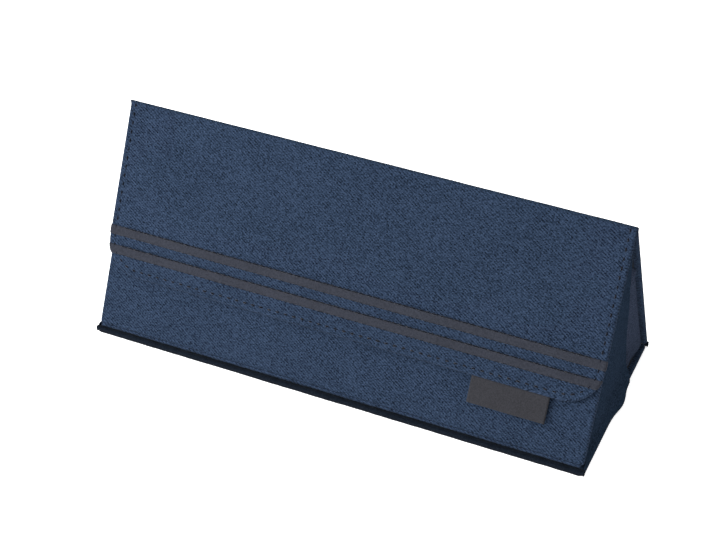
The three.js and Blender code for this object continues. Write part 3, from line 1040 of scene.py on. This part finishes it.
def stitch_tree(name, pitch, length, radius, seed):
    """Geometry nodes that lay a small tapered stitch at each step of a path."""
    tree = bpy.data.node_groups.new(name, "GeometryNodeTree")
    face = tree.interface
    face.new_socket("Geometry", in_out="INPUT", socket_type="NodeSocketGeometry")
    wanted = {}
    for label, value in (("Pitch", pitch), ("Stitch length", length), ("Thread radius", radius)):
        socket = face.new_socket(label, in_out="INPUT", socket_type="NodeSocketFloat")
        wanted[socket.identifier] = value
    face.new_socket("Geometry", in_out="OUTPUT", socket_type="NodeSocketGeometry")
    nodes = Nodes(tree)
    given = nodes.add("NodeGroupInput").outputs
    result = nodes.add("NodeGroupOutput")
    evened = nodes.add("GeometryNodeResampleCurve", mode="LENGTH")
    nodes.link(given["Geometry"], evened.inputs["Curve"])
    nodes.link(given["Pitch"], evened.inputs["Length"])
    ball = nodes.add("GeometryNodeMeshUVSphere")
    for socket, value in (("Segments", 8), ("Rings", 5), ("Radius", 1.0)):
        ball.inputs[socket].default_value = value
    sizes = nodes.add("ShaderNodeCombineXYZ")
    nodes.link(given["Thread radius"], sizes.inputs[0])
    nodes.link(given["Thread radius"], sizes.inputs[1])
    half = nodes.math("MULTIPLY", given["Stitch length"], 0.5)
    nodes.link(half, sizes.inputs[2])
    shaped = nodes.add("GeometryNodeTransform")
    nodes.link(ball.outputs["Mesh"], shaped.inputs["Geometry"])
    nodes.link(sizes.outputs[0], shaped.inputs["Scale"])
    tangent = nodes.add("GeometryNodeInputTangent")
    aim = nodes.add("FunctionNodeAlignRotationToVector", axis="Z")
    nodes.link(tangent.outputs[0], aim.inputs["Vector"])
    change = nodes.add("FunctionNodeRandomValue", data_type="FLOAT")
    floats = [s for s in change.inputs if s.enabled and s.name in ("Min", "Max")]
    floats[0].default_value = 0.86
    floats[1].default_value = 1.08
    change.inputs["Seed"].default_value = seed
    placed = nodes.add("GeometryNodeInstanceOnPoints")
    nodes.link(evened.outputs["Curve"], placed.inputs["Points"])
    nodes.link(shaped.outputs["Geometry"], placed.inputs["Instance"])
    nodes.link(aim.outputs[0], placed.inputs["Rotation"])
    size = [s for s in change.outputs if s.enabled][0]
    nodes.link(size, placed.inputs["Scale"])
    real = nodes.add("GeometryNodeRealizeInstances")
    nodes.link(placed.outputs["Instances"], real.inputs["Geometry"])
    painted = nodes.add("GeometryNodeSetMaterial")
    painted.inputs["Material"].default_value = thread_and_hole_shade
    nodes.link(real.outputs["Geometry"], painted.inputs["Geometry"])
    nodes.link(painted.outputs["Geometry"], result.inputs[0])
    return tree, wanted


def stitch_meshes(paths, pitch, length, radius, seed):
    """A plain mesh of the stitches along some paths of points."""
    curve = bpy.data.curves.new("seam", "CURVE")
    curve.dimensions = "3D"
    for path in paths:
        spline = curve.splines.new("POLY")
        spline.points.add(len(path) - 1)
        for point, place in zip(spline.points, path):
            point.co = (*place, 1)
    holder = added("seam", curve)
    tree, wanted = stitch_tree("stitches", pitch, length, radius, seed)
    row = holder.modifiers.new("stitches", "NODES")
    row.node_group = tree
    for identifier, value in wanted.items():
        row[identifier] = value
    graph = bpy.context.evaluated_depsgraph_get()
    mesh = bpy.data.meshes.new_from_object(holder.evaluated_get(graph))
    bpy.data.objects.remove(holder)
    bpy.data.curves.remove(curve)
    return mesh


def joined(name, meshes, body):
    """One object of several meshes, riding on a body."""
    work = bmesh.new()
    for mesh in meshes:
        work.from_mesh(mesh)
    mesh = bpy.data.meshes.new(name)
    work.to_mesh(mesh)
    work.free()
    mesh.materials.clear()
    mesh.materials.append(thread_and_hole_shade)
    mesh.shade_smooth()
    settle(added(name, mesh), body)


def on_panel(panel, path, level):
    """A seam's points, at one level over a panel's face, with bends kept round."""
    points = []
    for (ax, as_), (bx, bs) in zip(path[:-1], path[1:]):
        steps = max(1, int(math.hypot(bx - ax, bs - as_) / (2 * MM)))
        for i in range(steps):
            share = i / steps
            points.append(panel.at(ax + (bx - ax) * share, as_ + (bs - as_) * share, level))
    points.append(panel.at(path[-1][0], path[-1][1], level))
    return points


STITCH = 1.6 * MM
STITCH_RADIUS = 0.3 * MM
RIBBON_PITCH = 2.9 * MM


def make_stitches():
    sunk = -0.05 * MM
    ribbon_top = 0.22 * MM
    inside_flap = -(FLAP - 0.05 * MM)
    inside_front = -(PANEL - 0.05 * MM)
    edge = [on_panel(flap_panel, flap_seam, sunk), on_panel(flap_panel, flap_inner_seam, inside_flap)]
    tops = [on_panel(flap_panel, path, ribbon_top) for path in ribbon_top_seams]
    feet = [on_panel(flap_panel, path, ribbon_top) for path in ribbon_foot_seams]
    joined("flap_stitches", [
        stitch_meshes(edge, STITCH_PITCH, STITCH, STITCH_RADIUS, 41),
        stitch_meshes(tops, RIBBON_PITCH, 2.85 * MM, 0.27 * MM, 42),
        stitch_meshes(feet, RIBBON_PITCH, 2.2 * MM, 0.1 * MM, 43),
    ], "flap")
    mouth = [(-FRONT_HALF + EDGE_SEAM, MOUTH + EDGE_SEAM), (FRONT_HALF - EDGE_SEAM, MOUTH + EDGE_SEAM)]
    front = [on_panel(front_panel, mouth, level) for level in (sunk, inside_front)]
    joined("front_stitches", [stitch_meshes(front, STITCH_PITCH, STITCH, STITCH_RADIUS, 44)], "front_panel")
    case = [on_panel(back_panel, back_seam, sunk), on_panel(base_panel, base_seam, -0.28 * MM)]
    joined("case_stitches", [stitch_meshes(case, STITCH_PITCH, STITCH, STITCH_RADIUS, 45)], "case")


# ---- CAD nodes that stay: inside parts get their materials ----


def paint(node, material):
    made = frame["nodes"][node]
    made.data.materials.clear()
    made.data.materials.append(material)


def paint_inside_parts():
    for node in ("base_board", "back_board", "front_board", "flap_board"):
        paint(node, grey_board)
    for node in ("steel_disc_left", "steel_disc_right", "magnet_left", "magnet_right"):
        paint(node, plated_steel)


# ---- Floor, light and camera ----

CAMERA_AZIMUTH = math.radians(24.0)
CAMERA_HEIGHT = math.radians(38.2)
CAMERA_DISTANCE = 0.6835
CAMERA_AIM = Vector((-0.0034, -0.0033, 0.033))
CAMERA_LENS = 90


def make_floor():
    material, _, shader, _ = grained("pale_floor", (1, 1, 1), (0.9,), (40, 2), ((0.0, 0.93), (1.0, 0.95)))
    shader.inputs["Emission Color"].default_value = (1, 1, 1, 1)
    shader.inputs["Emission Strength"].default_value = 0.6
    mesh = bpy.data.meshes.new("floor")
    reach = 3.0
    level = -0.0002
    corners = [(x * reach, y * reach, level) for x, y in ((-1, -1), (1, -1), (1, 1), (-1, 1))]
    mesh.from_pydata(corners, [], [(0, 1, 2, 3)])
    mesh.materials.append(material)
    added("floor", mesh)


def soft_lamp(kind, name, place, energy, spread):
    """A lamp that points from its place at the case. Spread is a disk's width, or a sun's angle."""
    lamp = bpy.data.lights.new(name, kind)
    lamp.energy = energy
    if kind == "AREA":
        lamp.shape = "DISK"
        lamp.size = spread
    else:
        lamp.angle = spread
    made = added(name, lamp)
    made.location = place
    made.rotation_euler = (Vector((0, 0, 0.03)) - Vector(place)).to_track_quat("-Z", "Y").to_euler()


def make_light():
    world = bpy.data.worlds.new("studio")
    world.use_nodes = True
    back = world.node_tree.nodes["Background"]
    back.inputs["Color"].default_value = (1, 1, 1, 1)
    back.inputs["Strength"].default_value = 0.6
    bpy.context.scene.world = world
    soft_lamp("SUN", "front_light", (-0.45, -0.6, 0.9), 2.2, math.radians(50))
    soft_lamp("SUN", "top_light", (-0.2, 0.3, 1.0), 1.0, math.radians(70))
    soft_lamp("AREA", "side_light", (-0.5, -0.5, 0.3), 6, 0.35)


def make_camera():
    lens = bpy.data.cameras.new("camera")
    lens.lens = CAMERA_LENS
    lens.sensor_width = 36
    lens.clip_start = 0.01
    camera = added("camera", lens)
    forward = Vector((
        -math.sin(CAMERA_AZIMUTH) * math.cos(CAMERA_HEIGHT),
        math.cos(CAMERA_AZIMUTH) * math.cos(CAMERA_HEIGHT),
        -math.sin(CAMERA_HEIGHT),
    ))
    camera.location = CAMERA_AIM - forward * CAMERA_DISTANCE
    camera.rotation_euler = forward.to_track_quat("-Z", "Y").to_euler()
    bpy.context.scene.camera = camera


# ---- Making it all ----

bpy.context.scene.view_settings.view_transform = "Standard"

make_camera()
make_light()
make_floor()
make_covers()
make_linings()
make_ridge_fold()
make_front_hinge()
edge_strip("front_edge", "front_edge_strip", -1, 51)
edge_strip("rear_edge", "rear_edge_strip", 1, 52)
for end, side in (("left", -1), ("right", 1)):
    front_pleat(f"front_pleat_{end}", f"gusset_front_{end}", side)
for end, side in (("left", -1), ("right", 1)):
    back_pleat(f"back_pleat_{end}", f"gusset_back_{end}", side)
ribbon("upper_ribbon", "upper_stripe", UPPER_RIBBON)
ribbon("lower_ribbon", "lower_stripe", LOWER_RIBBON)
make_label()
make_stitches()
paint_inside_parts()

bpy.context.view_layer.update()
